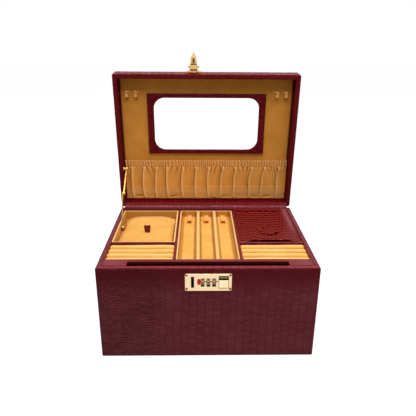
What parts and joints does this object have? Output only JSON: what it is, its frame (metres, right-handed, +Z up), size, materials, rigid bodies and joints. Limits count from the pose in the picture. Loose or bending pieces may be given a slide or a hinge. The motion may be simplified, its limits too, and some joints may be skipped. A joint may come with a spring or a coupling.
{
  "type": "jewellery case",
  "caption": "Leather jewellery case with a hinged mirror lid and gathered pocket, fitted suede tray with wells, channels and ring rolls, and a fall front with a combination lock.",
  "frame": {"origin": "centre of the underside, where the case rests", "axes": "+Z up, +Y to the hinge at the back, +X to the right seen from the front"},
  "size_m": [0.29, 0.2527, 0.3888],
  "materials": {
    "burgundy_leather": "semi-gloss crocodile-embossed hide",
    "tan_suede": "napped suede",
    "case_board": "bare fibreboard",
    "base_cloth": "matt base cloth",
    "gold_plate": "polished pale gold plate",
    "wheel_enamel": "enamelled wheel",
    "lock_steel": "pressed sheet",
    "mirror_glass": "silvered glass"
  },
  "bodies": {
    "case": {"base_sheet": "base_cloth", "floor_board": "case_board", "left_wall": "case_board", "right_wall": "case_board", "back_wall": "case_board", "case_leather": "burgundy_leather", "lower_floor_lining": "tan_suede", "lower_side_linings": "tan_suede", "lower_back_lining": "tan_suede", "tray_shelf": "case_board", "front_deck": "burgundy_leather", "back_deck": "burgundy_leather", "left_partition": "burgundy_leather", "right_partition": "burgundy_leather", "left_cross_partition": "burgundy_leather", "right_cross_partition": "burgundy_leather", "left_well_tray": "tan_suede", "right_well_tray": "tan_suede", "channel_tray": "tan_suede", "channel_tabs": "tan_suede", "left_ring_bed": "tan_suede", "right_ring_bed": "tan_suede", "front_hinge_strip": "burgundy_leather", "hinge_strip_case": "burgundy_leather", "stay_base_plate": "gold_plate"},
    "lid": {"hinge_strip_lid": "burgundy_leather", "lid_panel": "case_board", "lid_left_wall": "burgundy_leather", "lid_right_wall": "burgundy_leather", "lid_front_wall": "burgundy_leather", "lid_back_wall": "burgundy_leather", "lid_lining": "tan_suede", "lid_leather": "burgundy_leather", "mirror_frame": "burgundy_leather", "mirror_glass": "mirror_glass", "lid_pocket": "tan_suede", "necklace_hooks": "gold_plate", "stay_lid_plate": "gold_plate", "hasp_plate": "gold_plate", "hasp_pin": "gold_plate", "hasp_screws": "gold_plate"},
    "hasp": {"hasp_flap": "gold_plate"},
    "stay_lower": {"stay_lower_arm": "gold_plate", "stay_elbow_pin": "gold_plate"},
    "stay_upper": {"stay_upper_arm": "gold_plate"},
    "front_panel": {"front_board": "case_board", "front_leather": "burgundy_leather", "front_lining": "tan_suede", "lock_plate": "gold_plate", "lock_case": "lock_steel", "lock_screws": "gold_plate", "wheel_axle": "lock_steel"},
    "wheel_1": {"number_wheel_1": "wheel_enamel"},
    "wheel_2": {"number_wheel_2": "wheel_enamel"},
    "wheel_3": {"number_wheel_3": "wheel_enamel"},
    "release": {"release_slide": "gold_plate"},
    "cover": {"well_cover": "tan_suede", "cover_tab": "burgundy_leather"},
    "flap": {"well_flap": "burgundy_leather", "flap_tab": "burgundy_leather"}
  },
  "joints": [
    {"name": "lid_hinge", "type": "hinge", "parent": "case", "child": "lid", "pos_m": [0, 0.1116, 0.1361], "axis": [-1, 0, 0], "range_deg": [-85.55, 0]},
    {"name": "hasp_hinge", "type": "hinge", "parent": "lid", "child": "hasp", "pos_m": [-0.0204, 0.09703, 0.36075], "axis": [-1, 0, 0], "range_deg": [-120, 45]},
    {"name": "stay_lower_turn", "type": "hinge", "parent": "case", "child": "stay_lower", "pos_m": [-0.1352, 0.0435, 0.1265], "axis": [-1, 0, 0], "range_deg": [-110, 2]},
    {"name": "stay_upper_turn", "type": "hinge", "parent": "stay_lower", "child": "stay_upper", "pos_m": [-0.1334, 0.0698, 0.1747], "axis": [-1, 0, 0], "range_deg": [-2, 148]},
    {"name": "front_fall", "type": "hinge", "parent": "case", "child": "front_panel", "pos_m": [0, -0.1105, 0.0005], "axis": [1, 0, 0], "range_deg": [0, 87]},
    {"name": "release_push", "type": "slide", "parent": "front_panel", "child": "release", "axis": [0, 0, 1], "range_m": [0, 0.0028], "stiffness_N_per_m": 200},
    {"name": "cover_lift", "type": "slide", "parent": "case", "child": "cover", "axis": [0, 0, 1], "range_m": [0, 0.05]},
    {"name": "flap_hinge", "type": "hinge", "parent": "case", "child": "flap", "pos_m": [0.0925, 0.0968, 0.1332], "axis": [-1, 0, 0], "range_deg": [0, 80]},
    {"name": "wheel_1_spin", "type": "hinge", "parent": "front_panel", "child": "wheel_1", "pos_m": [-0.0074, -0.1078, 0.1164], "axis": [1, 0, 0], "continuous": true},
    {"name": "wheel_2_spin", "type": "hinge", "parent": "front_panel", "child": "wheel_2", "pos_m": [0, -0.1078, 0.1164], "axis": [1, 0, 0], "continuous": true},
    {"name": "wheel_3_spin", "type": "hinge", "parent": "front_panel", "child": "wheel_3", "pos_m": [0.0074, -0.1078, 0.1164], "axis": [1, 0, 0], "continuous": true}
  ],
  "couplings": [
    {"joint": "stay_lower_turn", "follows": "lid_hinge", "ratio": 1.2624},
    {"joint": "stay_upper_turn", "follows": "lid_hinge", "ratio": -1.6891}
  ]
}
